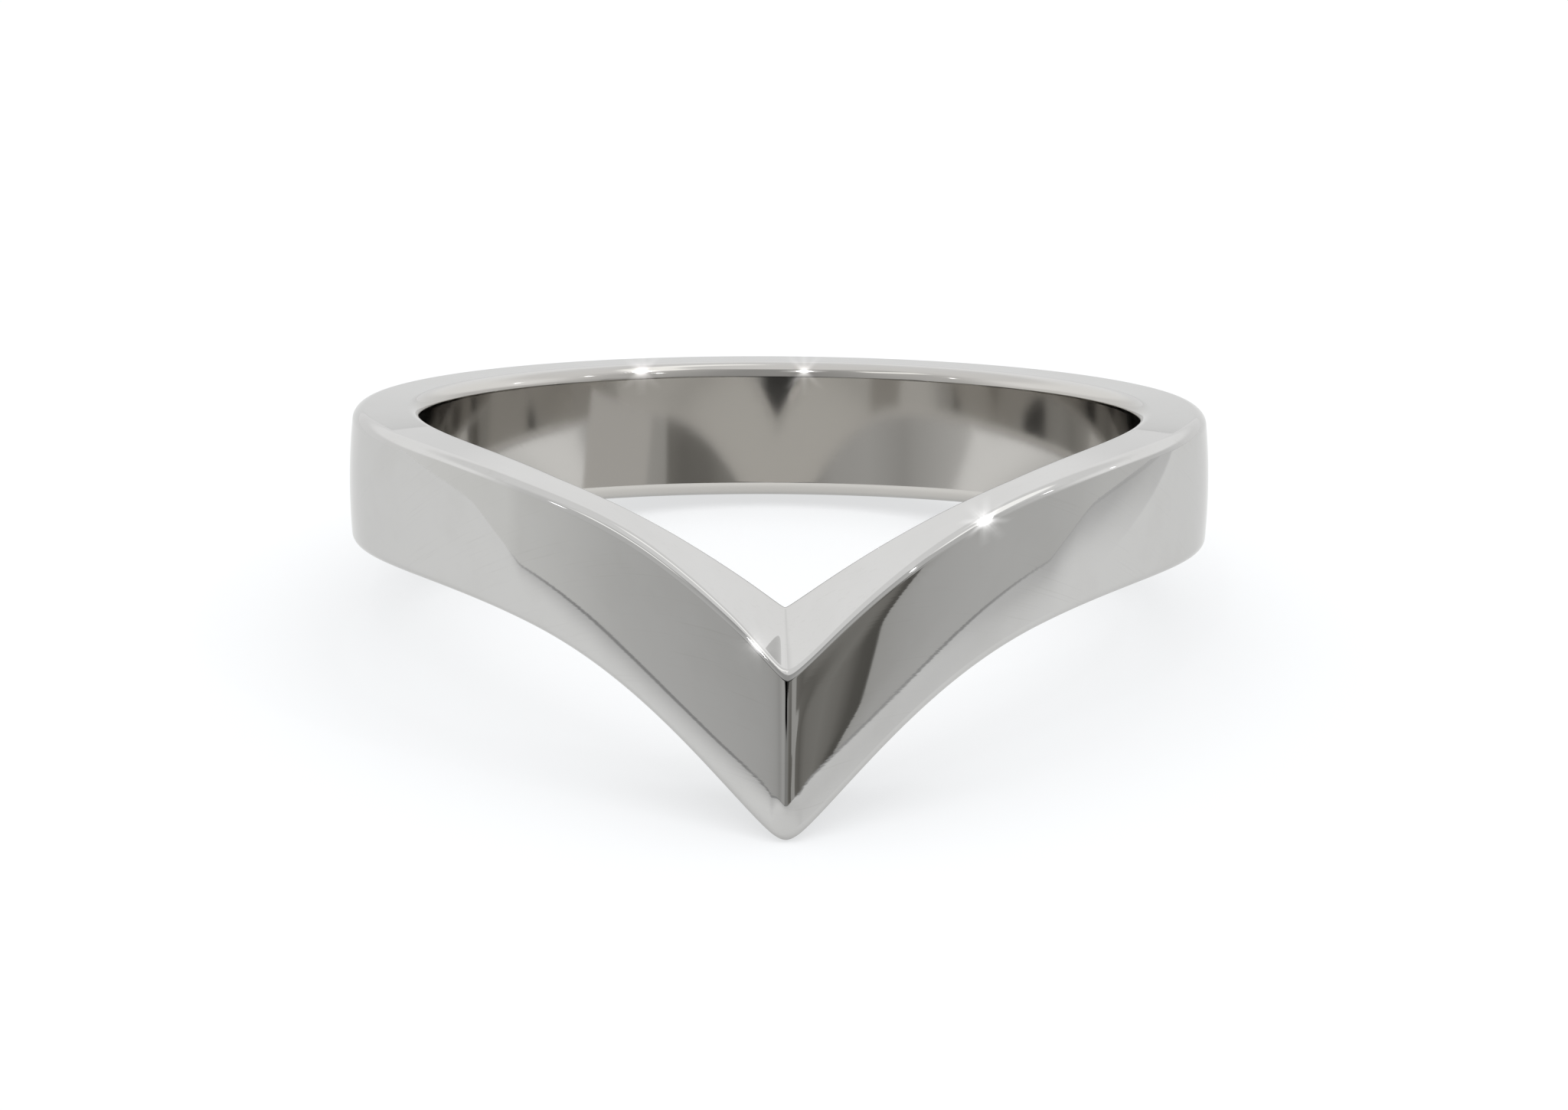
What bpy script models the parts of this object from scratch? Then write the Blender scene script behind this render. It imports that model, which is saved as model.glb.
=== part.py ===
"""Chevron ring: a plain one-piece polished band that dips to a point at the front.

The band is drawn about its finger axis with the point at -Y, then laid down the
way the real ring lies by itself: on the tip of its point and on the back of the
band. All sizes are in metres and are set by the named dimensions below.
"""

import math

import bmesh
import bpy
from mathutils import Vector

MM = 0.001

# Finger hole and band
BORE_RADIUS = 8.6 * MM
BAND_RADIUS = 10.22 * MM
BAND_WIDTH = 3.15 * MM
BACK_EXTRA_WIDTH = 0.18 * MM
BACK_EXTRA_FROM = math.radians(50)
BACK_EXTRA_TO = math.radians(110)

# Plan of the two nearly straight arms: large arcs that leave the round band here
ARM_RADIUS = 45.0 * MM
ARM_JOIN = math.radians(37.0)

# Front view of the arms: how far the band has dropped at a distance from the point
POINT_DROP = 5.32 * MM
DROP_RATE = 0.174 / MM
DROP_BEND = 0.0127 / MM**2
SLOPE_WIDENING = 0.92

# Crown of the outer face, flatter on the arms
SIDE_CROWN = 0.09 * MM
ARM_CROWN = 0.036 * MM

# Roundings of the long edges and of the point
INNER_EDGE = 0.34 * MM
OUTER_EDGE_SIDE = 0.27 * MM
OUTER_EDGE_ARM = 0.20 * MM
RIDGE_ROUND = 0.12 * MM
TOP_POINT_ROUND = 0.08 * MM
NOTCH_ROUND = 0.03 * MM
TIP_ROUND = 0.39 * MM

# Fineness of the mesh
EDGE_STEPS = 4
CROWN_STEPS = 4
FINEST_STEP = 0.25
COARSEST_STEP = 3.0
STEP_GROWTH = 0.05


def eased(value, low, high):
    """0 below low, 1 above high, and a smooth rise between them."""
    t = min(max((value - low) / (high - low), 0.0), 1.0)
    return t * t * (3.0 - 2.0 * t)


def outer_radius(angle):
    """Distance of the outer face from the finger axis, angle measured from the point."""
    reach = ARM_RADIUS - BAND_RADIUS
    turn = min(angle, ARM_JOIN) - ARM_JOIN
    across = reach * math.sin(turn)
    return math.sqrt(ARM_RADIUS**2 - across**2) - reach * math.cos(turn)


def distance_along(radius, angle):
    """How far along the arm, from the point, the place at this radius and angle lies."""
    reach = ARM_RADIUS - BAND_RADIUS
    start = math.asin(reach * math.sin(ARM_JOIN) / ARM_RADIUS)
    if angle >= ARM_JOIN:
        return ARM_RADIUS * (ARM_JOIN - start) + BAND_RADIUS * (angle - ARM_JOIN)
    x = radius * math.sin(angle) + reach * math.sin(ARM_JOIN)
    y = radius * math.cos(angle) + reach * math.cos(ARM_JOIN)
    return ARM_RADIUS * (math.atan2(x, y) - start)


def softened(angle, radius, rounding):
    """The angle from the point, eased so that the V has a small round bottom."""
    return math.hypot(angle, rounding / radius)


def edge_height(radius, angle, side, rounding):
    """Height of the band's top (side 1) or bottom (side -1) edge surface."""
    along = distance_along(radius, softened(angle, radius, rounding))
    drop = POINT_DROP * math.exp(-along * (DROP_RATE + DROP_BEND * along))
    slope = drop * (DROP_RATE + 2.0 * DROP_BEND * along)
    half = BAND_WIDTH / 2.0 * math.sqrt(1.0 + SLOPE_WIDENING * slope**2)
    half += BACK_EXTRA_WIDTH / 2.0 * eased(angle, BACK_EXTRA_FROM, BACK_EXTRA_TO)
    return side * half - drop


def rounded_corner(corner, before, after, radius):
    """Points of an arc that rounds a corner of the section."""
    u = (before - corner).normalized()
    v = (after - corner).normalized()
    half = u.angle(v) / 2.0
    middle = corner + (u + v).normalized() * (radius / math.sin(half))
    start = corner + u * (radius / math.tan(half)) - middle
    end = corner + v * (radius / math.tan(half)) - middle
    sweep = start.angle(end)
    points = []
    for i in range(EDGE_STEPS + 1):
        t = i / EDGE_STEPS
        a = math.sin((1.0 - t) * sweep) / math.sin(sweep)
        b = math.sin(t * sweep) / math.sin(sweep)
        points.append(middle + start * a + end * b)
    return points


def section(angle):
    """The band's closed section at this angle, as radius and height pairs."""
    outer = outer_radius(softened(angle, BAND_RADIUS, RIDGE_ROUND))
    inner_top = Vector((BORE_RADIUS, edge_height(BORE_RADIUS, angle, 1, NOTCH_ROUND)))
    outer_top = Vector((outer, edge_height(outer, angle, 1, TOP_POINT_ROUND)))
    outer_low = Vector((outer, edge_height(outer, angle, -1, TIP_ROUND)))
    inner_low = Vector((BORE_RADIUS, edge_height(BORE_RADIUS, angle, -1, TIP_ROUND)))
    to_side = eased(angle, math.radians(45), math.radians(80))
    outer_edge = OUTER_EDGE_ARM + (OUTER_EDGE_SIDE - OUTER_EDGE_ARM) * to_side
    crown = ARM_CROWN + (SIDE_CROWN - ARM_CROWN) * to_side
    points = rounded_corner(inner_top, inner_low, outer_top, INNER_EDGE)
    points += rounded_corner(outer_top, inner_top, outer_low, outer_edge)
    low = rounded_corner(outer_low, outer_top, inner_low, outer_edge)
    high_end = points[-1]
    low_end = low[0]
    for i in range(1, CROWN_STEPS):
        t = i / CROWN_STEPS
        place = high_end.lerp(low_end, t)
        place.x += crown * (1.0 - (2.0 * t - 1.0) ** 2)
        points.append(place)
    points += low
    points += rounded_corner(inner_low, outer_low, inner_top, INNER_EDGE)
    return points


def section_angles():
    """Angles from the point to the back, closest together at the point."""
    angles = [0.0]
    while angles[-1] < 180.0:
        step = FINEST_STEP + STEP_GROWTH * angles[-1]
        angles.append(angles[-1] + min(step, COARSEST_STEP))
    return [math.radians(a * 180.0 / angles[-1]) for a in angles]


def band_mesh():
    """The whole band as one closed skin, round the finger axis."""
    half = section_angles()
    around = [(angle, 1.0) for angle in half]
    around += [(angle, -1.0) for angle in reversed(half[1:-1])]
    bm = bmesh.new()
    loops = []
    for angle, side in around:
        loop = []
        for radius, height in section(angle):
            x = side * radius * math.sin(angle)
            loop.append(bm.verts.new((x, -radius * math.cos(angle), height)))
        loops.append(loop)
    for here, there in zip(loops, loops[1:] + loops[:1]):
        for i in range(len(here)):
            j = (i + 1) % len(here)
            bm.faces.new((here[i], here[j], there[j], there[i]))
    bmesh.ops.recalc_face_normals(bm, faces=bm.faces)
    mesh = bpy.data.meshes.new("chevron_band")
    bm.to_mesh(mesh)
    bm.free()
    mesh.shade_smooth()
    mesh.set_sharp_from_angle(angle=math.radians(35))
    return mesh


def lowest(points, tilt):
    """Lowest heights of the front and of the back once the band is tilted."""
    front = []
    back = []
    for point in points:
        height = point.y * math.sin(tilt) + point.z * math.cos(tilt)
        (front if point.y < 0.0 else back).append(height)
    return min(front), min(back)


def resting_tilt(points):
    """The tilt at which the tip of the point and the back touch one flat surface."""
    low, high = math.radians(-30), 0.0
    for _ in range(60):
        tilt = (low + high) / 2.0
        front, back = lowest(points, tilt)
        if front < back:
            high = tilt
        else:
            low = tilt
    return tilt


def polished_metal():
    """White precious metal with a bright hand polish."""
    material = bpy.data.materials.new("polished_white_metal")
    material.use_nodes = True
    shader = material.node_tree.nodes["Principled BSDF"]
    shader.inputs["Base Color"].default_value = (0.78, 0.77, 0.75, 1.0)
    shader.inputs["Metallic"].default_value = 1.0
    shader.inputs["Roughness"].default_value = 0.06
    return material


def main():
    for old in list(bpy.data.objects):
        bpy.data.objects.remove(old, do_unlink=True)
    mesh = band_mesh()
    mesh.materials.append(polished_metal())
    band = bpy.data.objects.new("chevron_band", mesh)
    bpy.context.scene.collection.objects.link(band)
    points = [vertex.co.copy() for vertex in mesh.vertices]
    tilt = resting_tilt(points)
    band.rotation_euler = (tilt, 0.0, 0.0)
    laid = [band.rotation_euler.to_matrix() @ point for point in points]
    depths = [point.y for point in laid]
    floor = min(point.z for point in laid)
    band.location = (0.0, -(min(depths) + max(depths)) / 2.0, -floor)


if __name__ == "__main__":
    main()
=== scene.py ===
"""Looks of the chevron ring: the polished band, the floor it lies on, the studio light and the camera."""

import math

import bpy
from mathutils import Euler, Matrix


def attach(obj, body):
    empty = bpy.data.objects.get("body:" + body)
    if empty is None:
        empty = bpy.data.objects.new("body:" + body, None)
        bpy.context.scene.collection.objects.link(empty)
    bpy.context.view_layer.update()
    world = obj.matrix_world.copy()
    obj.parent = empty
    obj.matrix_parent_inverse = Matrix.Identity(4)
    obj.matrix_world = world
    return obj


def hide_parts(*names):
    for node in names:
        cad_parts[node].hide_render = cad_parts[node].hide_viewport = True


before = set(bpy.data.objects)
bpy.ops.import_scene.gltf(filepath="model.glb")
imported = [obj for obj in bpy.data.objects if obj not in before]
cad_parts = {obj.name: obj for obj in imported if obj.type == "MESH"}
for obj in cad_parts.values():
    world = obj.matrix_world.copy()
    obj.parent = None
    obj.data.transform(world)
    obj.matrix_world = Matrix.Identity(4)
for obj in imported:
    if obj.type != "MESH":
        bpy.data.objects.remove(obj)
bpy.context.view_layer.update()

bl_info = {
    "name": "Chevron Ring",
    "version": (1, 0, 0),
    "blender": (4, 5, 0),
    "location": "View3D > Sidebar > Chevron Ring",
    "description": "Makes a polished chevron band lying on a pale floor in soft studio light",
    "category": "Object",
}

MM = 0.001
PIECE = "polished_chevron_band"


# Node arithmetic


class Term:
    """A number or vector in a node tree. Arithmetic on terms adds Math nodes to the tree."""

    def __init__(self, tree, socket):
        self.tree = tree
        self.socket = socket

    @staticmethod
    def _is_vector(item):
        return isinstance(item, Term) and item.socket.type in ("VECTOR", "RGBA")

    def _pair(self, operation, first, second):
        vector = self._is_vector(first) or self._is_vector(second)
        if vector and operation == "MULTIPLY":
            one, other = (first, second) if self._is_vector(first) else (second, first)
            if not self._is_vector(other):
                return vector_math(self.tree, "SCALE", one, other)
        return (vector_math if vector else math_term)(self.tree, operation, first, second)

    def __add__(self, other):
        return self._pair("ADD", self, other)

    __radd__ = __add__

    def __sub__(self, other):
        return self._pair("SUBTRACT", self, other)

    def __rsub__(self, other):
        return self._pair("SUBTRACT", other, self)

    def __mul__(self, other):
        return self._pair("MULTIPLY", self, other)

    __rmul__ = __mul__

    def __truediv__(self, other):
        return self._pair("DIVIDE", self, other)

    def __rtruediv__(self, other):
        return self._pair("DIVIDE", other, self)


def feed(tree, socket, item):
    """Links a term to a socket, or sets the socket to a plain value."""
    if isinstance(item, Term):
        tree.links.new(item.socket, socket)
    else:
        socket.default_value = item


def math_term(tree, operation, *items):
    node = tree.nodes.new("ShaderNodeMath")
    node.operation = operation
    for socket, item in zip(node.inputs, items):
        feed(tree, socket, item)
    return Term(tree, node.outputs["Value"])


def vector_math(tree, operation, *items):
    node = tree.nodes.new("ShaderNodeVectorMath")
    node.operation = operation
    sockets = (node.inputs[0], node.inputs["Scale"]) if operation == "SCALE" else node.inputs
    for socket, item in zip(sockets, items):
        feed(tree, socket, item)
    return Term(tree, node.outputs["Value" if operation in ("DOT_PRODUCT", "LENGTH") else "Vector"])


def vector(tree, x, y, z):
    node = tree.nodes.new("ShaderNodeCombineXYZ")
    for socket, item in zip(node.inputs, (x, y, z)):
        feed(tree, socket, item)
    return Term(tree, node.outputs["Vector"])


def parts(term):
    """The x, y and z of a vector term."""
    node = term.tree.nodes.new("ShaderNodeSeparateXYZ")
    term.tree.links.new(term.socket, node.inputs["Vector"])
    return [Term(term.tree, socket) for socket in node.outputs]


def eased(value, low, high, start=0.0, end=1.0):
    """Start below low, end above high, and a smooth rise between them."""
    node = value.tree.nodes.new("ShaderNodeMapRange")
    node.interpolation_type = "SMOOTHSTEP"
    limits = (("From Min", low), ("From Max", high), ("To Min", start), ("To Max", end))
    for name, item in (("Value", value), *limits):
        feed(value.tree, node.inputs[name], item)
    return Term(value.tree, node.outputs["Result"])


def sine(term):
    return math_term(term.tree, "SINE", term)


def cosine(term):
    return math_term(term.tree, "COSINE", term)


def root(term):
    return math_term(term.tree, "SQRT", term)


def hypot(a, b):
    return root(a * a + b * b)


def smaller(a, b):
    return math_term(a.tree, "MINIMUM", a, b)


def larger(a, b):
    return math_term(a.tree, "MAXIMUM", a, b)


def unit(term):
    return vector_math(term.tree, "NORMALIZE", term)


def chosen(index, items, kind):
    """Picks one of the items by a whole number."""
    tree = index.tree
    node = tree.nodes.new("GeometryNodeIndexSwitch")
    node.data_type = kind
    while len(node.index_switch_items) < len(items):
        node.index_switch_items.new()
    feed(tree, node.inputs["Index"], index)
    for i, item in enumerate(items):
        feed(tree, node.inputs[str(i)], item)
    return Term(tree, node.outputs["Output"])


def group_inputs(tree, rows):
    """Adds the tree's named inputs and returns them as terms by name."""
    for name, kind, value in rows:
        socket = tree.interface.new_socket(name, in_out="INPUT", socket_type=kind)
        if value is not None:
            socket.default_value = value
    node = tree.nodes.new("NodeGroupInput")
    return {name: Term(tree, node.outputs[name]) for name, _, _ in rows}


# Sizes and colours


def length(name, millimetres, description):
    return bpy.props.FloatProperty(
        name=name, description=description, default=millimetres * MM, min=0.0, precision=6, unit="LENGTH")


def turn(name, degrees, description):
    return bpy.props.FloatProperty(
        name=name, description=description, default=math.radians(degrees), subtype="ANGLE", unit="ROTATION")


def tint(name, rgb, description):
    return bpy.props.FloatVectorProperty(
        name=name, description=description, default=rgb, min=0.0, size=3, subtype="COLOR")


def amount(name, value, description):
    return bpy.props.FloatProperty(
        name=name, description=description, default=value, min=0.0, max=1.0, precision=4)


def number(name, value, description, unit="NONE"):
    return bpy.props.FloatProperty(name=name, description=description, default=value, min=0.0, unit=unit)


def count(name, value, description, least=2):
    return bpy.props.IntProperty(name=name, description=description, default=value, min=least)


def three(name, values, description, subtype, unit):
    return bpy.props.FloatVectorProperty(
        name=name, description=description, default=values, subtype=subtype, unit=unit, precision=6)


class RING_PG_band(bpy.types.PropertyGroup):
    """Sizes of the band."""

    bore_radius: length("Bore radius", 8.6, "Radius of the finger hole")
    band_radius: length("Band radius", 10.22, "Outer radius of the round part of the band")
    band_width: length("Band width", 3.15, "Width of the band across its outer face")
    back_extra: length("Extra width at the back", 0.18, "How much wider the back of the band is")
    arm_radius: length("Arm radius", 45.0, "Radius of the nearly straight arms in plan")
    arm_join: turn("Arm join", 37.0, "Angle from the point at which the arms leave the round band")
    point_drop: length("Point drop", 5.32, "How far the middle of the band drops at the point")
    drop_rate: number("Drop rate", 174.0, "How fast the drop fades away from the point, per metre")
    drop_bend: number("Drop bend", 12700.0, "How much faster it fades further out, per square metre")
    slope_widening: number("Slope widening", 0.92, "How much of the band's width is kept square to its slope")
    side_crown: length("Side crown", 0.09, "Rise of the outer face's crown at the sides and back")
    arm_crown: length("Arm crown", 0.036, "Rise of the outer face's crown on the arms")
    inner_edge: length("Inner edge", 0.34, "Rounding of the edges of the finger hole")
    outer_edge_side: length(
        "Outer edge at the sides", 0.27, "Rounding of the outer edges at the sides and back")
    outer_edge_arm: length("Outer edge on the arms", 0.24, "Rounding of the outer edges on the arms")
    ridge_round: length("Ridge rounding", 0.12, "Rounding of the upright ridge at the point")
    top_round: length("Top point rounding", 0.16, "Rounding of the V along the outer top edge")
    left_lift: length(
        "Left edge lift", 0.20, "How much higher the outer top edge of the left arm runs near the point")
    notch_round: length("Notch rounding", 0.03, "Rounding of the V along the inner top edge")
    tip_round: length("Tip rounding", 0.39, "Rounding of the tip underneath")
    foot_height: length("Foot height", 1.25, "Height over which the foot of the ridge curves in")
    foot_depth: length("Foot depth", 0.15, "How far the foot of the ridge curves in")
    lean: turn("Lean", -13.6546, "Lean of the finger axis as the ring lies on its tip and its back")
    set_back: length("Set back", 1.4876, "Moves the ring back so that it is centred over the origin")
    lift: length("Lift", 3.9712, "Raises the ring so that it rests on the floor")
    crowding: number(
        "Crowding", 3.9, "How much closer together the sections lie at the point than at the back")
    around: count("Steps around", 800, "Sections around the whole band", 60)
    edge_steps: count("Edge steps", 9, "Steps across each rounded edge")
    face_steps: count("Face steps", 19, "Steps across each flat or crowned face")


class RING_PG_metal(bpy.types.PropertyGroup):
    """Colour and polish of the metal."""

    colour: tint("Colour", (0.606, 0.603, 0.595), "Colour of the polished white metal")
    worn_colour: tint("Hazed colour", (0.560, 0.556, 0.543), "Colour where the polish is slightly hazed")
    # Painted shade: the wall of the finger hole is coloured darker and warmer, standing in for the shade in
    # the hollow.
    inside_colour: tint("Inside colour", (0.570, 0.556, 0.532), "Colour of the wall of the finger hole")
    edge_tint: tint("Edge tint", (0.86, 0.86, 0.86), "Tint of the metal seen at a flat angle")
    roughness: amount("Roughness", 0.02, "Roughness of the clean polish")
    haze_roughness: amount("Haze roughness", 0.05, "Roughness where the polish is hazed")
    inside_roughness: amount("Inside roughness", 0.055, "Added roughness inside the finger hole")
    mark_depth: length("Mark depth", 0.0001, "Depth of the fine polishing marks")
    wave_depth: length("Wave depth", 0.0016, "Depth of the soft waves left by hand polishing")


class RING_PG_studio(bpy.types.PropertyGroup):
    """Floor, light and camera."""

    floor_colour: tint("Floor colour", (0.232, 0.236, 0.241), "Colour of the floor")
    floor_glow: tint("Floor glow", (0.640, 0.645, 0.650), "Light that comes through the floor from below")
    floor_radius: length("Floor radius", 300.0, "Radius of the round floor")
    card_front: length("Card front", 25.6, "How far in front of the ring its pale card ends")
    card_side: length("Card side", 63.5, "How far beside the ring its pale card ends")
    card_cut: length("Card cut", 31.4, "How far from the ring the slanting sides of the card pass")
    card_light: tint("Card light", (0.914, 0.906, 0.893), "How light the card looks in the metal")
    tent: tint("Tent", (1.13, 1.13, 1.13), "Light of the tent around the ring")
    tent_top: tint("Tent top", (0.95, 0.95, 0.95), "Light of the top of the tent")
    front_sky: tint("Front sky", (0.66, 0.66, 0.655), "Light over the opening at the front of the tent")
    small_card_light: tint(
        "Small card light", (0.56, 0.55, 0.53), "Light of the small card in the finger hole")
    small_card_height: length("Small card height", 3.2, "Height of the small card in the finger hole")
    lamp_power: number("Lamp power", 0.78, "Power of the soft lamp over the floor", "POWER")
    lamp_height: length("Lamp height", 260.0, "Height of the soft lamp over the floor")
    lamp_size: length("Lamp size", 420.0, "Width of the soft lamp")
    camera_place: three(
        "Camera place", (-0.0045776, -0.2340162, 0.0954824),
        "Where the camera stands", "TRANSLATION", "LENGTH")
    camera_turn: three(
        "Camera turn", [math.radians(degrees) for degrees in (68.33213, -0.63051, -0.89765)],
        "How the camera is turned", "EULER", "ROTATION")
    lens: number("Lens", 241.405, "Focal length of the lens in millimetres", "CAMERA")


# The band

# Angles from the point between which the band turns from an arm into a side, and widens to the back.
SIDE_ANGLES = (math.radians(45.0), math.radians(80.0))
BACK_ANGLES = (math.radians(50.0), math.radians(110.0))

# Distances along the outer face, + on the right, over which the lift of the left edge begins and ends,
# and how much of the lift its rounding grows by.
LIFT_RISES = (-7.5 * MM, -3.5 * MM)
LIFT_FALLS = (-1.5 * MM, 1.0 * MM)
LIFT_ROUNDING = 0.3

# How far from the ridge its curved foot fades out, and the gap under which points are merged.
FOOT_REACH = 0.45 * MM
MERGE_GAP = 0.0004 * MM


def edge_height(size, along_input, side, radius, angle, rounding):
    """Height of the band's top (side 1) or bottom (side -1) edge at this radius and angle."""
    along = along_input(radius, hypot(angle, rounding / radius))
    fade = along * (size["Drop Rate"] + size["Drop Bend"] * along)
    drop = size["Point Drop"] * math_term(along.tree, "EXPONENT", 0.0 - fade)
    slope = drop * (size["Drop Rate"] + 2.0 * size["Drop Bend"] * along)
    half = size["Band Width"] * 0.5 * root(1.0 + size["Slope Widening"] * slope * slope)
    half = half + size["Back Extra"] * 0.5 * eased(angle, *BACK_ANGLES)
    return half * side - drop


def rounded_corner(corner, before, after, radius, t):
    """A point of the arc that rounds a corner of the section."""
    tree = corner.tree
    u = unit(before - corner)
    v = unit(after - corner)
    half = math_term(tree, "ARCCOSINE", vector_math(tree, "DOT_PRODUCT", u, v)) * 0.5
    reach = radius / math_term(tree, "TANGENT", half)
    middle = corner + unit(u + v) * (radius / sine(half))
    sweep = math.pi - 2.0 * half
    start = corner + u * reach - middle
    end = corner + v * reach - middle
    return middle + (start * sine((1.0 - t) * sweep) + end * sine(t * sweep)) * (1.0 / sine(sweep))


def band_tree(sizes):
    """Geometry nodes that make the whole band by its rule, as one closed skin."""
    tree = bpy.data.node_groups.new("Chevron Band", "GeometryNodeTree")
    tree.interface.new_socket("Geometry", in_out="OUTPUT", socket_type="NodeSocketGeometry")
    size = group_inputs(tree, sizes)
    nodes, links = tree.nodes, tree.links

    per_corner = size["Edge Steps"] + size["Face Steps"]
    columns = per_corner * 4.0 + 1.0
    grid = nodes.new("GeometryNodeMeshGrid")
    feed(tree, grid.inputs["Vertices X"], size["Around"] + 1.0)
    feed(tree, grid.inputs["Vertices Y"], columns)
    index = Term(tree, nodes.new("GeometryNodeInputIndex").outputs["Index"])

    row = math_term(tree, "FLOOR", (index + 0.5) / columns)
    column = index - row * columns
    run = (row / size["Around"]) * 2.0 - 1.0
    side = math_term(tree, "SIGN", run)
    far = math_term(tree, "ABSOLUTE", run)
    spread = math_term(tree, "SINH", far * size["Crowding"]) / math_term(tree, "SINH", size["Crowding"])
    angle = spread * math.pi

    reach = size["Arm Radius"] - size["Band Radius"]
    start = math_term(tree, "ARCSINE", reach * sine(size["Arm Join"]) / size["Arm Radius"])

    def distance_along(radius, a):
        """How far along the arm, from the point, the place at this radius and angle lies."""
        x = radius * sine(a) + reach * sine(size["Arm Join"])
        y = radius * cosine(a) + reach * cosine(size["Arm Join"])
        on_arm = size["Arm Radius"] * (math_term(tree, "ARCTAN2", x, y) - start)
        past = larger(a - size["Arm Join"], 0.0)
        beyond = size["Arm Radius"] * (size["Arm Join"] - start) + size["Band Radius"] * past
        is_past = math_term(tree, "GREATER_THAN", a, size["Arm Join"])
        return on_arm + (beyond - on_arm) * is_past

    rounded = hypot(angle, size["Ridge Round"] / size["Band Radius"])
    turned = smaller(rounded, size["Arm Join"]) - size["Arm Join"]
    across = reach * sine(turned)
    outer = root(size["Arm Radius"] * size["Arm Radius"] - across * across) - reach * cosine(turned)

    bore = size["Bore Radius"]
    ahead = distance_along(outer, angle)
    signed = side * ahead
    lift = size["Left Lift"] * eased(signed, *LIFT_RISES) * eased(signed, *LIFT_FALLS, 1.0, 0.0)
    top_out = edge_height(size, distance_along, 1.0, outer, angle, size["Top Point Round"]) + lift
    low_out = edge_height(size, distance_along, -1.0, outer, angle, size["Tip Round"])
    corners = [
        vector(tree, bore, edge_height(size, distance_along, 1.0, bore, angle, size["Notch Round"]), 0.0),
        vector(tree, outer, top_out, 0.0),
        vector(tree, outer, low_out, 0.0),
        vector(tree, bore, edge_height(size, distance_along, -1.0, bore, angle, size["Tip Round"]), 0.0),
    ]
    to_side = eased(angle, *SIDE_ANGLES)
    outer_edge = size["Outer Edge Arm"] + (size["Outer Edge Side"] - size["Outer Edge Arm"]) * to_side
    edges = [size["Inner Edge"], outer_edge + lift * LIFT_ROUNDING, outer_edge, size["Inner Edge"]]

    turn_number = math_term(tree, "FLOOR", (column + 0.5) / per_corner)
    step = column - turn_number * per_corner
    which = math_term(tree, "MODULO", turn_number, 4.0)
    on_edge = smaller(step / size["Edge Steps"], 1.0)
    on_face = larger((step - size["Edge Steps"]) / size["Face Steps"], 0.0)
    on_face = 0.5 - 0.5 * cosine(on_face * math.pi)

    def corner(shift):
        return chosen(which, [corners[(i + shift) % 4] for i in range(4)], "VECTOR")

    here, following, before, after = corner(0), corner(1), corner(3), corner(2)
    edge_here = chosen(which, edges, "FLOAT")
    edge_next = chosen(which, [edges[(i + 1) % 4] for i in range(4)], "FLOAT")
    on_arc = rounded_corner(here, before, following, edge_here, on_edge)
    next_arc = rounded_corner(following, here, after, edge_next, 0.0)
    place = on_arc + (next_arc - on_arc) * on_face

    radius, height, _ = parts(place)
    crown = size["Arm Crown"] + (size["Side Crown"] - size["Arm Crown"]) * to_side
    level = (height * 2.0 - top_out - low_out) / (top_out - low_out)
    on_outside = eased(radius, (bore + outer) * 0.5, outer - outer_edge)
    depth = (outer - radius) * (size["Band Radius"] - bore) / (outer - bore)
    radius = radius + crown * larger(1.0 - level * level, 0.0) * on_outside
    below = larger(low_out + size["Foot Height"] - height, 0.0) / size["Foot Height"]
    foot = size["Foot Depth"] * below * below * eased(ahead, 0.0, FOOT_REACH, 1.0, 0.0)
    radius = radius - foot * on_outside

    spot = vector(tree, side * radius * sine(angle), 0.0 - radius * cosine(angle), height)
    moved = nodes.new("GeometryNodeSetPosition")
    links.new(grid.outputs["Mesh"], moved.inputs["Geometry"])
    feed(tree, moved.inputs["Position"], spot)

    own_place = nodes.new("GeometryNodeStoreNamedAttribute")
    own_place.data_type = "FLOAT_VECTOR"
    own_place.domain = "CORNER"
    own_place.inputs["Name"].default_value = "band_place"
    links.new(moved.outputs["Geometry"], own_place.inputs["Geometry"])
    middle = (top_out + low_out) * 0.5
    at_point = nodes.new("GeometryNodeFieldOnDomain")
    at_point.data_type = "FLOAT_VECTOR"
    at_point.domain = "POINT"
    feed(tree, at_point.inputs[0], vector(tree, signed, height - middle, depth))
    links.new(at_point.outputs[0], own_place.inputs["Value"])

    closed = nodes.new("GeometryNodeMergeByDistance")
    closed.inputs["Distance"].default_value = MERGE_GAP
    links.new(own_place.outputs["Geometry"], closed.inputs["Geometry"])

    laid = nodes.new("GeometryNodeTransform")
    links.new(closed.outputs["Geometry"], laid.inputs["Geometry"])
    feed(tree, laid.inputs["Translation"], vector(tree, 0.0, size["Set Back"], size["Lift"]))
    feed(tree, laid.inputs["Rotation"], vector(tree, size["Lean"], 0.0, 0.0))

    outward = nodes.new("GeometryNodeFlipFaces")
    links.new(laid.outputs["Geometry"], outward.inputs["Mesh"])
    smooth = nodes.new("GeometryNodeSetShadeSmooth")
    links.new(outward.outputs["Mesh"], smooth.inputs["Geometry"])
    realized = nodes.new("GeometryNodeRealizeInstances")
    links.new(smooth.outputs["Geometry"], realized.inputs["Geometry"])
    finish = nodes.new("GeometryNodeSetMaterial")
    links.new(realized.outputs["Geometry"], finish.inputs["Geometry"])
    feed(tree, finish.inputs["Material"], size["Metal"])
    output = nodes.new("NodeGroupOutput")
    links.new(finish.outputs["Geometry"], output.inputs["Geometry"])
    return tree


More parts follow.
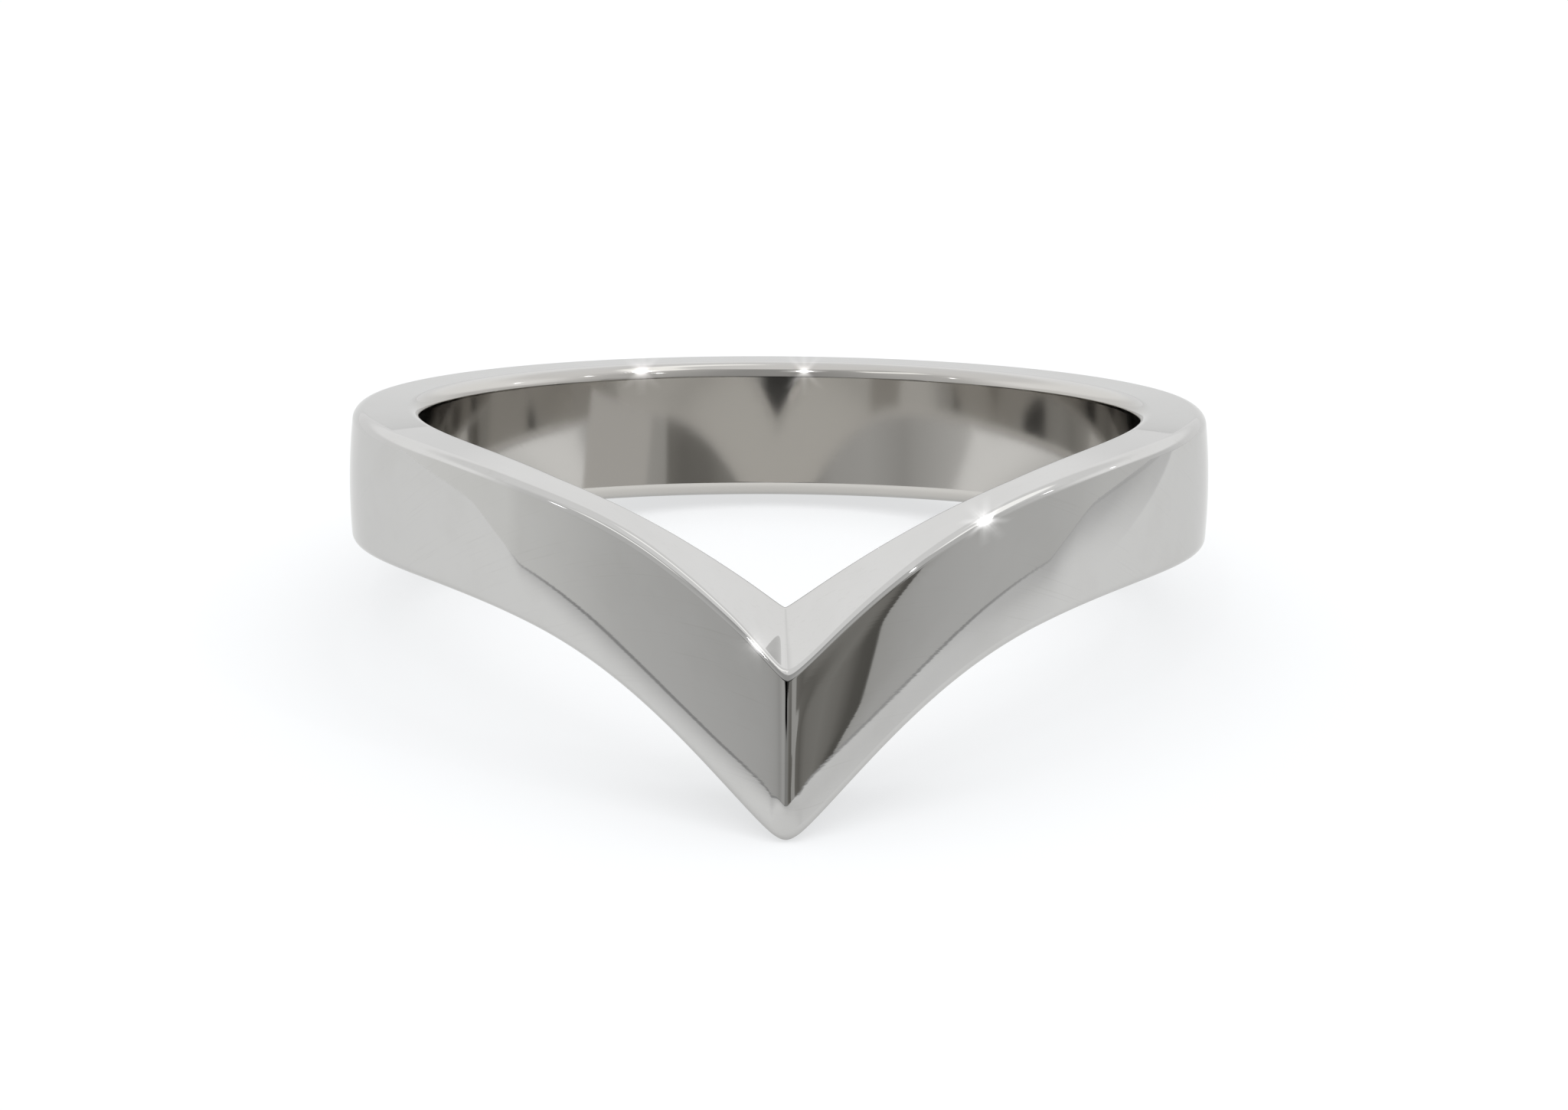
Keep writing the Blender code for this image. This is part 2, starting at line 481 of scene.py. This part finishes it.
def band_sizes(band, metal):
    """The tree's inputs by name, kind and value."""
    return [
        ("Bore Radius", "NodeSocketFloat", band.bore_radius),
        ("Band Radius", "NodeSocketFloat", band.band_radius),
        ("Band Width", "NodeSocketFloat", band.band_width),
        ("Back Extra", "NodeSocketFloat", band.back_extra),
        ("Arm Radius", "NodeSocketFloat", band.arm_radius),
        ("Arm Join", "NodeSocketFloat", band.arm_join),
        ("Point Drop", "NodeSocketFloat", band.point_drop),
        ("Drop Rate", "NodeSocketFloat", band.drop_rate),
        ("Drop Bend", "NodeSocketFloat", band.drop_bend),
        ("Slope Widening", "NodeSocketFloat", band.slope_widening),
        ("Side Crown", "NodeSocketFloat", band.side_crown),
        ("Arm Crown", "NodeSocketFloat", band.arm_crown),
        ("Inner Edge", "NodeSocketFloat", band.inner_edge),
        ("Outer Edge Side", "NodeSocketFloat", band.outer_edge_side),
        ("Outer Edge Arm", "NodeSocketFloat", band.outer_edge_arm),
        ("Ridge Round", "NodeSocketFloat", band.ridge_round),
        ("Top Point Round", "NodeSocketFloat", band.top_round),
        ("Notch Round", "NodeSocketFloat", band.notch_round),
        ("Tip Round", "NodeSocketFloat", band.tip_round),
        ("Left Lift", "NodeSocketFloat", band.left_lift),
        ("Foot Height", "NodeSocketFloat", band.foot_height),
        ("Foot Depth", "NodeSocketFloat", band.foot_depth),
        ("Lean", "NodeSocketFloat", band.lean),
        ("Set Back", "NodeSocketFloat", band.set_back),
        ("Lift", "NodeSocketFloat", band.lift),
        ("Crowding", "NodeSocketFloat", band.crowding),
        ("Around", "NodeSocketInt", band.around),
        ("Edge Steps", "NodeSocketInt", band.edge_steps),
        ("Face Steps", "NodeSocketInt", band.face_steps),
        ("Metal", "NodeSocketMaterial", metal),
    ]


class RING_OT_band(bpy.types.Operator):
    """Make the polished chevron band"""

    bl_idname = "chevron_ring.band"
    bl_label = "Chevron Band"

    def execute(self, context):
        band = context.scene.ring_band
        metal = polished_white_metal(context.scene.ring_metal)
        sizes = band_sizes(band, metal)
        tree = band_tree([(n, k, None if k == "NodeSocketMaterial" else v) for n, k, v in sizes])
        source = bpy.data.objects.new("band_by_rule", bpy.data.meshes.new("band_by_rule"))
        context.scene.collection.objects.link(source)
        modifier = source.modifiers.new("Chevron Band", "NODES")
        modifier.node_group = tree
        sockets = {item.name: item.identifier for item in tree.interface.items_tree if item.in_out == "INPUT"}
        for name, _, value in sizes:
            modifier[sockets[name]] = value
        context.view_layer.update()
        evaluated = source.evaluated_get(context.evaluated_depsgraph_get())
        mesh = bpy.data.meshes.new_from_object(evaluated)
        bpy.data.objects.remove(source)
        if not mesh.polygons:
            raise RuntimeError("the band came out empty")
        mesh.name = PIECE
        piece = bpy.data.objects.new(PIECE, mesh)
        context.scene.collection.objects.link(piece)
        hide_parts("chevron_band")
        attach(piece, "root")
        return {"FINISHED"}


# The metal


def placed(tree, group, **values):
    """Places a node group in a tree and sets or links its named inputs."""
    node = tree.nodes.new("ShaderNodeGroup")
    node.node_tree = group
    for name, item in values.items():
        feed(tree, node.inputs[name.replace("_", " ")], item)
    return {socket.name: Term(tree, socket) for socket in node.outputs}


def noise(tree, where, scale, detail, roughness=0.5):
    node = tree.nodes.new("ShaderNodeTexNoise")
    feed(tree, node.inputs["Vector"], where)
    for name, item in (("Scale", scale), ("Detail", detail), ("Roughness", roughness)):
        feed(tree, node.inputs[name], item)
    return Term(tree, node.outputs["Fac"])


def shader_group(name, inputs, outputs):
    tree = bpy.data.node_groups.new(name, "ShaderNodeTree")
    for label in outputs:
        tree.interface.new_socket(label, in_out="OUTPUT", socket_type="NodeSocketFloat")
    got = group_inputs(tree, inputs)
    return tree, got, tree.nodes.new("NodeGroupOutput")


# The polishing marks show in patches: how many lie in a metre, and how faint the marks are between them.
MARK_PATCHES = 420.0
FAINTEST_MARKS = 0.25

# How much of the haze the clouds and the lines bring, and the depth of the fine waves beside the broad ones.
CLOUD_HAZE = 0.35
LINE_HAZE = 0.45
FINE_WAVES = 0.09


def polish_marks_group():
    """Fine lines that the polishing wheel leaves along the band, stronger in some places."""
    tree, got, out = shader_group("Polish Marks", [
        ("Place", "NodeSocketVector", None),
        ("Line Length", "NodeSocketFloat", 0.003),
        ("Line Width", "NodeSocketFloat", 0.00008),
        ("Slant", "NodeSocketFloat", 0.6),
        ("Depth", "NodeSocketFloat", 0.0000006),
    ], ("Height", "Lines"))
    along, across, depth = parts(got["Place"])
    skewed = across + math_term(tree, "ABSOLUTE", along) * got["Slant"]
    where = vector(tree, along / got["Line Length"], skewed / got["Line Width"], depth / got["Line Width"])
    lines = noise(tree, where, 1.0, 2.0, 0.6)
    patches = eased(noise(tree, got["Place"], MARK_PATCHES, 1.0), 0.38, 0.62, FAINTEST_MARKS, 1.0)
    feed(tree, out.inputs["Lines"], eased(lines, 0.56, 0.74) * patches)
    feed(tree, out.inputs["Height"], (lines - 0.5) * patches * got["Depth"])
    return tree


def hand_waves_group():
    """The soft waves that hand polishing leaves in a bright surface."""
    tree, got, out = shader_group("Hand Waves", [
        ("Place", "NodeSocketVector", None),
        ("Wave Length", "NodeSocketFloat", 0.003),
        ("Depth", "NodeSocketFloat", 0.000001),
    ], ("Height",))
    broad = noise(tree, got["Place"], 1.0 / got["Wave Length"], 0.0)
    fine = noise(tree, got["Place"], 4.2 / got["Wave Length"], 1.0)
    feed(tree, out.inputs["Height"], ((broad - 0.5) + (fine - 0.5) * FINE_WAVES) * got["Depth"])
    return tree


def haze_group():
    """Slightly duller places: thin haze in clouds; and the inside of the finger hole, which gets painted
    shade there (a darker, warmer colour) and a rougher polish.
    """
    tree, got, out = shader_group("Haze", [
        ("Place", "NodeSocketVector", None),
        ("Cloud Size", "NodeSocketFloat", 0.002),
        ("Wall", "NodeSocketFloat", 0.00162),
    ], ("Clouds", "Inside"))
    clouds = eased(noise(tree, got["Place"], 1.0 / got["Cloud Size"], 3.0, 0.6), 0.42, 0.70)
    depth = parts(got["Place"])[2]
    feed(tree, out.inputs["Clouds"], clouds)
    feed(tree, out.inputs["Inside"], eased(depth - got["Wall"], -0.0003, -0.00002))
    return tree


def mixed(tree, factor, first, second):
    """Colour between two colours."""
    node = tree.nodes.new("ShaderNodeMix")
    node.data_type = "RGBA"
    feed(tree, node.inputs[0], factor)
    feed(tree, node.inputs[6], first)
    feed(tree, node.inputs[7], second)
    return Term(tree, node.outputs[2])


def polished_white_metal(look):
    """Hand polished white metal."""
    material = bpy.data.materials.new("polished_white_metal")
    material.use_nodes = True
    tree = material.node_tree
    shader = tree.nodes["Principled BSDF"]
    attribute = tree.nodes.new("ShaderNodeAttribute")
    attribute.attribute_name = "band_place"
    place = Term(tree, attribute.outputs["Vector"])
    body = Term(tree, tree.nodes.new("ShaderNodeTexCoord").outputs["Object"])
    marks = placed(tree, polish_marks_group(), Place=place, Depth=look.mark_depth)
    waves = placed(tree, hand_waves_group(), Place=body, Depth=look.wave_depth)
    haze_and_hollow = placed(tree, haze_group(), Place=place)
    dull = haze_and_hollow["Clouds"] * CLOUD_HAZE + marks["Lines"] * LINE_HAZE
    colour = mixed(tree, dull, (*look.colour, 1.0), (*look.worn_colour, 1.0))
    # Painted shade: inside the finger hole the colour turns to the darker, warmer inside colour.
    feed(tree, shader.inputs["Base Color"], mixed(tree, haze_and_hollow["Inside"], colour, (*look.inside_colour, 1.0)))
    rough = look.roughness + dull * (look.haze_roughness - look.roughness)
    feed(tree, shader.inputs["Roughness"], rough + haze_and_hollow["Inside"] * look.inside_roughness)
    bump = tree.nodes.new("ShaderNodeBump")
    bump.inputs["Distance"].default_value = 1.0
    feed(tree, bump.inputs["Height"], marks["Height"] + waves["Height"])
    tree.links.new(bump.outputs["Normal"], shader.inputs["Normal"])
    shader.inputs["Metallic"].default_value = 1.0
    shader.inputs["Specular Tint"].default_value = (*look.edge_tint, 1.0)
    return material


# Floor, light and camera


def soft_patch_group():
    """Shader group: a soft-edged patch of sky between two headings and two heights, in degrees."""
    tree = bpy.data.node_groups.new("Soft Patch", "ShaderNodeTree")
    tree.interface.new_socket("Mask", in_out="OUTPUT", socket_type="NodeSocketFloat")
    names = ("Heading", "Rise", "From", "To", "Low", "High", "Heading Edge", "Rise Edge")
    got = group_inputs(tree, [(name, "NodeSocketFloat", 1.0) for name in names])

    def between(value, low, high, edge):
        """Full from low to high, with a soft edge on either side."""
        return eased(value, low - edge, low + edge) * eased(value, high - edge, high + edge, 1.0, 0.0)

    mask = between(got["Heading"], got["From"], got["To"], got["Heading Edge"])
    mask = mask * between(got["Rise"], got["Low"], got["High"], got["Rise Edge"])
    output = tree.nodes.new("NodeGroupOutput")
    feed(tree, output.inputs["Mask"], mask)
    return tree


# Light at the level of the ring, by heading in degrees: 0 in front of the point, + to the right.
HORIZON = (
    (-180, 1.00), (-130, 0.95), (-100, 0.88), (-77, 0.84), (-71, 0.74), (-65, 0.61), (-55, 0.53), (-47, 0.46),
    (-42, 0.40), (-30, 0.49), (-19, 0.46), (-8, 0.29), (8, 0.31), (16, 0.24), (22, 0.165), (34, 0.15),
    (64, 0.53), (70, 0.60), (83, 0.64), (94, 0.70), (123, 0.78), (140, 0.95), (180, 1.00),
)

# The same for the front right, where dark things stand beside the opening of the tent, in finer steps.
FRONT_RIGHT = (
    (30, 0.18), (34, 0.185), (35.4, 0.19), (36.4, 0.42), (46, 0.44), (47.5, 0.19), (51.5, 0.16),
    (54.3, 0.235), (56.6, 0.255), (58.2, 0.21), (59.6, 0.12), (60.75, 0.105), (60.95, 0.46), (64, 0.53),
    (70, 0.60),
)

# Lamps, light strips and dark places of the studio: colour, from and to heading, low and high rise,
# softness of the side edges and of the upper and lower edges; all in degrees.
PATCHES = (
    ((0.10, 0.10, 0.098), -49, 44, 8.8, 12.5, 3, 0.7),
    ((0.04, 0.04, 0.039), -34, 38, 7.7, 11.0, 5, 0.4),
    ((0.0, 0.0, 0.0), -14, 4.5, 5.9, 9.6, 2.5, 0.6),
    ((1.45, 1.45, 1.43), -78, -42, 50.0, 58.0, 5, 2.0),
    ((1.45, 1.45, 1.43), 60, 174, 58.0, 70.0, 6, 2.0),
    ((75.0, 75.0, 76.0), -14.2, -11.8, 51.5, 55.5, 0.6, 1.0),
    ((120.0, 120.0, 122.0), 72.0, 75.0, 53.2, 55.8, 0.6, 0.8),
    ((60.0, 60.0, 61.0), 50.3, 51.3, 42.4, 43.6, 0.5, 0.8),
    ((8.0, 8.0, 8.2), 79.5, 82, 36.0, 38.0, 0.8, 0.8),
    ((7.0, 7.0, 7.2), 105.5, 107.5, 21.5, 23.5, 0.8, 0.7),
    ((7.0, 7.0, 7.2), -72.5, -70.5, 33.0, 35.0, 0.8, 0.7),
)

# Greys darker than the first number are tinted warm, and fully so where they are darker by the second.
WARM_BELOW, WARM_OVER = 0.55, 0.40

# How much blue the warmest grey lacks, how much of that it lacks in green, and the share left of the heading.
WARMEST, WARM_GREEN, WARM_LEFT, WARM_FROM = 0.10, 0.35, 0.3, 15.0

# The light that the ring's front sees, up to this heading, lacks a little more blue.
FRONT_TO, FRONT_YELLOW = 120.0, 0.015


def light_by_heading(tree, heading, stops):
    """Light of the studio by heading; the dark things on the right are slightly warm."""
    first, last = stops[0][0], stops[-1][0]
    ramp = tree.nodes.new("ShaderNodeValToRGB")
    marks = ramp.color_ramp.elements
    while len(marks) < len(stops):
        marks.new(0.5)
    for mark, (degrees, grey) in zip(marks, stops):
        warm = WARMEST * max(0.0, min(1.0, (WARM_BELOW - grey) / WARM_OVER))
        warm = warm if degrees > WARM_FROM else warm * WARM_LEFT
        yellow = FRONT_YELLOW if abs(degrees) < FRONT_TO else 0.0
        mark.position = (degrees - first) / (last - first)
        mark.color = (grey, grey * (1.0 - WARM_GREEN * warm), grey * (1.0 - warm - yellow), 1.0)
    feed(tree, ramp.inputs["Fac"], (heading - first) / (last - first))
    return Term(tree, ramp.outputs["Color"])


# Headings and heights, in degrees, between which one part of the studio fades into the next.
FINE_FROM, FINE_TO = (30.0, 34.0), (64.0, 70.0)
RIGHT_FROM, RIGHT_TO = (-5.0, 25.0), (80.0, 100.0)
OPENING_SIDE, OPENING_TOP = (60.0, 100.0), (62.0, 72.0)
TENT_TOP_RISE = (25.0, 40.0)
LEFT_CLIMB, RIGHT_CLIMB, BACK_CLIMB = (6.0, 15.0), (1.0, 22.0), (2.0, 10.0)
BACK_FROM = (100.0, 130.0)

# The sky over the opening is darker in the middle: the headings between which it lightens, and how dark.
FRONT_MIDDLE, FRONT_MIDDLE_LIGHT = (10.0, 60.0), 0.64

# The edge of the dark thing at the front right leans: the heights between which it moves, and how far.
LEAN_OUT, LEAN_END, LEAN_OUT_BY = (-0.1, 1.3), (1.5, 2.3), 3.2
LEAN_IN, LEAN_IN_BY = (-3.9, -2.5), 2.2


def studio_world(look):
    """Light by direction: a pale tent, what stands round its opening at the front, and small lamps."""
    world = bpy.data.worlds.new("studio")
    world.use_nodes = True
    tree = world.node_tree
    tree.nodes.clear()
    way = unit(Term(tree, tree.nodes.new("ShaderNodeTexCoord").outputs["Generated"]))
    x, y, z = parts(way)
    rise = math_term(tree, "ARCSINE", z) * (180.0 / math.pi)
    heading = math_term(tree, "ARCTAN2", x, 0.0 - y) * (180.0 / math.pi)
    low = light_by_heading(tree, heading, HORIZON)
    bend = eased(rise, *LEAN_OUT)
    bend = bend * bend * eased(rise, *LEAN_END, LEAN_OUT_BY, 0.0) - eased(rise, *LEAN_IN, LEAN_IN_BY, 0.0)
    near = light_by_heading(tree, heading - bend, FRONT_RIGHT)
    low = low + (near - low) * (eased(heading, *FINE_FROM) * eased(heading, *FINE_TO, 1.0, 0.0))
    aside = math_term(tree, "ABSOLUTE", heading)
    front = vector(tree, *look.front_sky) * eased(aside, *FRONT_MIDDLE, FRONT_MIDDLE_LIGHT, 1.0)
    tent = vector(tree, *look.tent)
    tent = tent + (vector(tree, *look.tent_top) - tent) * eased(rise, *TENT_TOP_RISE)
    tent = front + (tent - front) * larger(eased(aside, *OPENING_SIDE), eased(rise, *OPENING_TOP))
    on_right = eased(heading, *RIGHT_FROM) * eased(heading, *RIGHT_TO, 1.0, 0.0)
    left_climb = eased(rise, *LEFT_CLIMB)
    climb = left_climb + (eased(rise, *RIGHT_CLIMB) - left_climb) * on_right
    climb = climb + (eased(rise, *BACK_CLIMB) - climb) * eased(aside, *BACK_FROM)
    light = low + (tent - low) * climb
    patch = soft_patch_group()
    for colour, start, end, bottom, top, side_edge, rise_edge in PATCHES:
        edges = dict(From=start, To=end, Low=bottom, High=top, Heading_Edge=side_edge, Rise_Edge=rise_edge)
        got = placed(tree, patch, Heading=heading, Rise=rise, **edges)
        light = light + (vector(tree, *colour) - light) * got["Mask"]
    output = tree.nodes.new("ShaderNodeOutputWorld")
    seen = tree.nodes.new("ShaderNodeBackground")
    plain = tree.nodes.new("ShaderNodeBackground")
    plain.inputs["Color"].default_value = (1.0, 1.0, 1.0, 1.0)
    feed(tree, seen.inputs["Color"], light)
    path = tree.nodes.new("ShaderNodeLightPath")
    mix = tree.nodes.new("ShaderNodeMixShader")
    tree.links.new(path.outputs["Is Camera Ray"], mix.inputs["Fac"])
    tree.links.new(seen.outputs["Background"], mix.inputs[1])
    tree.links.new(plain.outputs["Background"], mix.inputs[2])
    tree.links.new(mix.outputs["Shader"], output.inputs["Surface"])
    return world


# The pale card on the floor, in metres, x to the right and y to the back.
# Its slanting sides: their direction across, the distance from the middle over which they set in,
# and how far away they are held nearer the middle.
SLANT_X, SLANT_Y = 0.592, 0.806
SLANT_FROM, SLANT_AWAY = (22.0 * MM, 32.0 * MM), 200.0 * MM
CORNER_ROUND, SLANT_ROUND = 22.0 * MM, 6.0 * MM

# Where its front part ends to the back and its left part to the right, and where its right part lies.
FRONT_PART, LEFT_PART = (-27.5 * MM, -18.0 * MM), (-10.0 * MM, 10.0 * MM)
RIGHT_PART_FROM, RIGHT_PART_TO = (0.0, 15.0 * MM), (35.0 * MM, 50.0 * MM)

# Painted shade on the card, seen only in the metal: its light falls off towards its edge. How wide this
# darker rim is, at the front and in addition beside the ring. How dark it is, how much darker beside the ring
# and on the left, and how much lighter on the right.
RIM, RIM_BESIDE = 9.0 * MM, 8.0 * MM
RIM_DARK, RIM_DARK_BESIDE, RIM_DARK_LEFT, RIM_DARK_RIGHT = 0.21, 0.11, 0.10, 0.12

# The painted shade line along its edge, seen only in the metal: where it begins and is full, how dark it is;
# and where the card ends.
LINE_RISES, LINE_DARK = (-0.2 * MM, 0.4 * MM), 0.52
CARD_ENDS = (1.2 * MM, 1.8 * MM)

# Painted light, seen only in the metal: the floor in the finger hole is made a little lighter.
HOLE_RADII, HOLE_LIGHT = (7.0 * MM, 10.0 * MM), 1.14


def pale_floor(look):
    """White card that ends a little way in front of the ring, as its reflection in the metal shows."""
    material = bpy.data.materials.new("pale_floor")
    material.use_nodes = True
    tree = material.node_tree
    shader = tree.nodes["Principled BSDF"]
    shader.inputs["Roughness"].default_value = 0.9
    shader.inputs["Specular IOR Level"].default_value = 0.0
    shader.inputs["Emission Strength"].default_value = 1.0
    x, y, _ = parts(Term(tree, tree.nodes.new("ShaderNodeTexCoord").outputs["Object"]))
    path = tree.nodes.new("ShaderNodeLightPath")
    reflected = 1.0 - Term(tree, path.outputs["Is Camera Ray"])
    sideways = math_term(tree, "ABSOLUTE", x)
    slant = sideways * SLANT_X + y * SLANT_Y - look.card_cut
    slant = slant - eased(sideways, *SLANT_FROM, SLANT_AWAY, 0.0)
    edge = math_term(tree, "SMOOTH_MAX", 0.0 - y - look.card_front, sideways - look.card_side, CORNER_ROUND)
    edge = math_term(tree, "SMOOTH_MAX", edge, slant, SLANT_ROUND)
    beside = eased(y, *FRONT_PART)
    left = eased(x, *LEFT_PART, 1.0, 0.0)
    near_right = eased(x, *RIGHT_PART_FROM) * eased(x, *RIGHT_PART_TO, 1.0, 0.0)
    # Painted shade, for the metal's reflections only: the card gets darker towards its edge.
    depth = beside * RIM_DARK_BESIDE + left * RIM_DARK_LEFT + RIM_DARK - near_right * RIM_DARK_RIGHT
    rim = eased(edge, 0.0 - RIM - beside * RIM_BESIDE, 0.0)
    card_edge_shade = 1.0 - rim * depth * (1.0 - beside * left)
    # Painted shade: a dark line along the card's edge, seen only in the metal.
    edge_line_shade = eased(edge, *LINE_RISES) * LINE_DARK * (1.0 - beside * (left * 0.2 + 0.8))
    # Painted light: the floor in the finger hole is lighter in the metal's reflections.
    hole_painted_light = eased(hypot(x, y), *HOLE_RADII, HOLE_LIGHT, 1.0)
    # The painted shade and light go only into what the metal reflects; the camera sees the floor plain.
    grey = card_edge_shade * (1.0 - edge_line_shade) * hole_painted_light
    shade = vector(tree, *((grey * light - 1.0) * reflected + 1.0 for light in look.card_light))
    feed(tree, shader.inputs["Base Color"], vector(tree, *look.floor_colour) * shade)
    feed(tree, shader.inputs["Emission Color"], vector(tree, *look.floor_glow) * shade)
    clear = tree.nodes.new("ShaderNodeBsdfTransparent")
    mix = tree.nodes.new("ShaderNodeMixShader")
    feed(tree, mix.inputs["Fac"], eased(edge, *CARD_ENDS) * reflected)
    tree.links.new(shader.outputs["BSDF"], mix.inputs[1])
    tree.links.new(clear.outputs["BSDF"], mix.inputs[2])
    tree.links.new(mix.outputs["Shader"], tree.nodes["Material Output"].inputs["Surface"])
    return material


# A glowing card, painted light seen only in the wall's reflection.
# Left and right end of the small card in the finger hole, in plan.
SMALL_CARD_ENDS = ((7.5 * MM, 2.6 * MM), (6.0 * MM, -0.95 * MM))
SMALL_CARD_FOOT = 0.2 * MM


def glowing_card(look):
    """Card that glows, black under any lamp: painted light, not seen by the camera, lighting no diffuse
    surface and casting no shadow; only its reflection in the polished wall is seen.
    """
    mesh = bpy.data.meshes.new("glowing_card")
    start, end = SMALL_CARD_ENDS
    foot, top = SMALL_CARD_FOOT, look.small_card_height
    mesh.from_pydata([(*start, foot), (*end, foot), (*end, top), (*start, top)], [], [(0, 1, 2, 3)])
    material = bpy.data.materials.new("glowing_card")
    material.use_nodes = True
    shader = material.node_tree.nodes["Principled BSDF"]
    shader.inputs["Base Color"].default_value = (0.0, 0.0, 0.0, 1.0)
    shader.inputs["Specular IOR Level"].default_value = 0.0
    shader.inputs["Emission Color"].default_value = (*look.small_card_light, 1.0)
    shader.inputs["Emission Strength"].default_value = 1.0
    mesh.materials.append(material)
    card = bpy.data.objects.new("glowing_card", mesh)
    card.visible_camera = False
    card.visible_diffuse = False
    card.visible_shadow = False
    return card


# Settings of the star that the lens draws round a bright glint, by the names of the glare node's inputs.
STAR = (
    ("Threshold", 1.2), ("Strength", 0.8), ("Streaks", 8), ("Iterations", 2), ("Fade", 0.8),
    ("Color Modulation", 0.0),
)


def glint_stars(scene):
    """The small star that the lens draws around the brightest glints."""
    scene.use_nodes = True
    tree = scene.node_tree
    tree.nodes.clear()
    picture = tree.nodes.new("CompositorNodeRLayers")
    glow = tree.nodes.new("CompositorNodeGlare")
    glow.glare_type = "STREAKS"
    for name, value in STAR:
        glow.inputs[name].default_value = value
    result = tree.nodes.new("CompositorNodeComposite")
    tree.links.new(picture.outputs["Image"], glow.inputs["Image"])
    tree.links.new(glow.outputs["Image"], result.inputs["Image"])


# Corners of the round floor.
FLOOR_SIDES = 96


class RING_OT_stage(bpy.types.Operator):
    """Make the pale floor, the studio light and the camera"""

    bl_idname = "chevron_ring.stage"
    bl_label = "Stage"

    def execute(self, context):
        look = context.scene.ring_studio
        mesh = bpy.data.meshes.new("floor")
        headings = [i * math.tau / FLOOR_SIDES for i in range(FLOOR_SIDES)]
        rim = [(look.floor_radius * math.cos(a), look.floor_radius * math.sin(a), 0.0) for a in headings]
        mesh.from_pydata(rim, [], [tuple(range(FLOOR_SIDES))])
        mesh.materials.append(pale_floor(look))
        floor = bpy.data.objects.new("floor", mesh)
        context.scene.collection.objects.link(floor)
        card = glowing_card(look)
        context.scene.collection.objects.link(card)

        lamp = bpy.data.objects.new("soft_lamp", bpy.data.lights.new("soft_lamp", "AREA"))
        lamp.data.shape = "DISK"
        lamp.data.size = look.lamp_size
        lamp.data.energy = look.lamp_power
        lamp.location = (0.0, 0.0, look.lamp_height)
        lamp.visible_glossy = False
        lamp.visible_camera = False
        context.scene.collection.objects.link(lamp)

        context.scene.world = studio_world(look)
        context.scene.view_settings.view_transform = "Standard"
        glint_stars(context.scene)

        camera = bpy.data.objects.new("camera", bpy.data.cameras.new("camera"))
        camera.data.lens = look.lens
        camera.data.sensor_width = 36.0
        camera.data.clip_start = 0.001
        camera.location = look.camera_place
        camera.rotation_euler = Euler(look.camera_turn)
        context.scene.collection.objects.link(camera)
        context.scene.camera = camera
        return {"FINISHED"}


# Add-on


class RING_PT_panel(bpy.types.Panel):
    """Sizes, colours and makers of the chevron ring"""

    bl_idname = "RING_PT_panel"
    bl_label = "Chevron Ring"
    bl_space_type = "VIEW_3D"
    bl_region_type = "UI"
    bl_category = "Chevron Ring"

    def draw(self, context):
        band_groups, stage_groups = ("ring_band", "ring_metal"), ("ring_studio",)
        for operator, groups in ((RING_OT_band, band_groups), (RING_OT_stage, stage_groups)):
            box = self.layout.box()
            for group in groups:
                settings = getattr(context.scene, group)
                for name in settings.__annotations__:
                    box.prop(settings, name)
            box.operator(operator.bl_idname)


CLASSES = (RING_PG_band, RING_PG_metal, RING_PG_studio, RING_OT_band, RING_OT_stage, RING_PT_panel)
SETTINGS = {"ring_band": RING_PG_band, "ring_metal": RING_PG_metal, "ring_studio": RING_PG_studio}


def register():
    for item in CLASSES:
        bpy.utils.register_class(item)
    for name, group in SETTINGS.items():
        setattr(bpy.types.Scene, name, bpy.props.PointerProperty(type=group))


def unregister():
    for name in SETTINGS:
        delattr(bpy.types.Scene, name)
    for item in reversed(CLASSES):
        bpy.utils.unregister_class(item)


def main():
    register()
    bpy.ops.chevron_ring.stage()
    bpy.ops.chevron_ring.band()


if __name__ == "__main__":
    main()
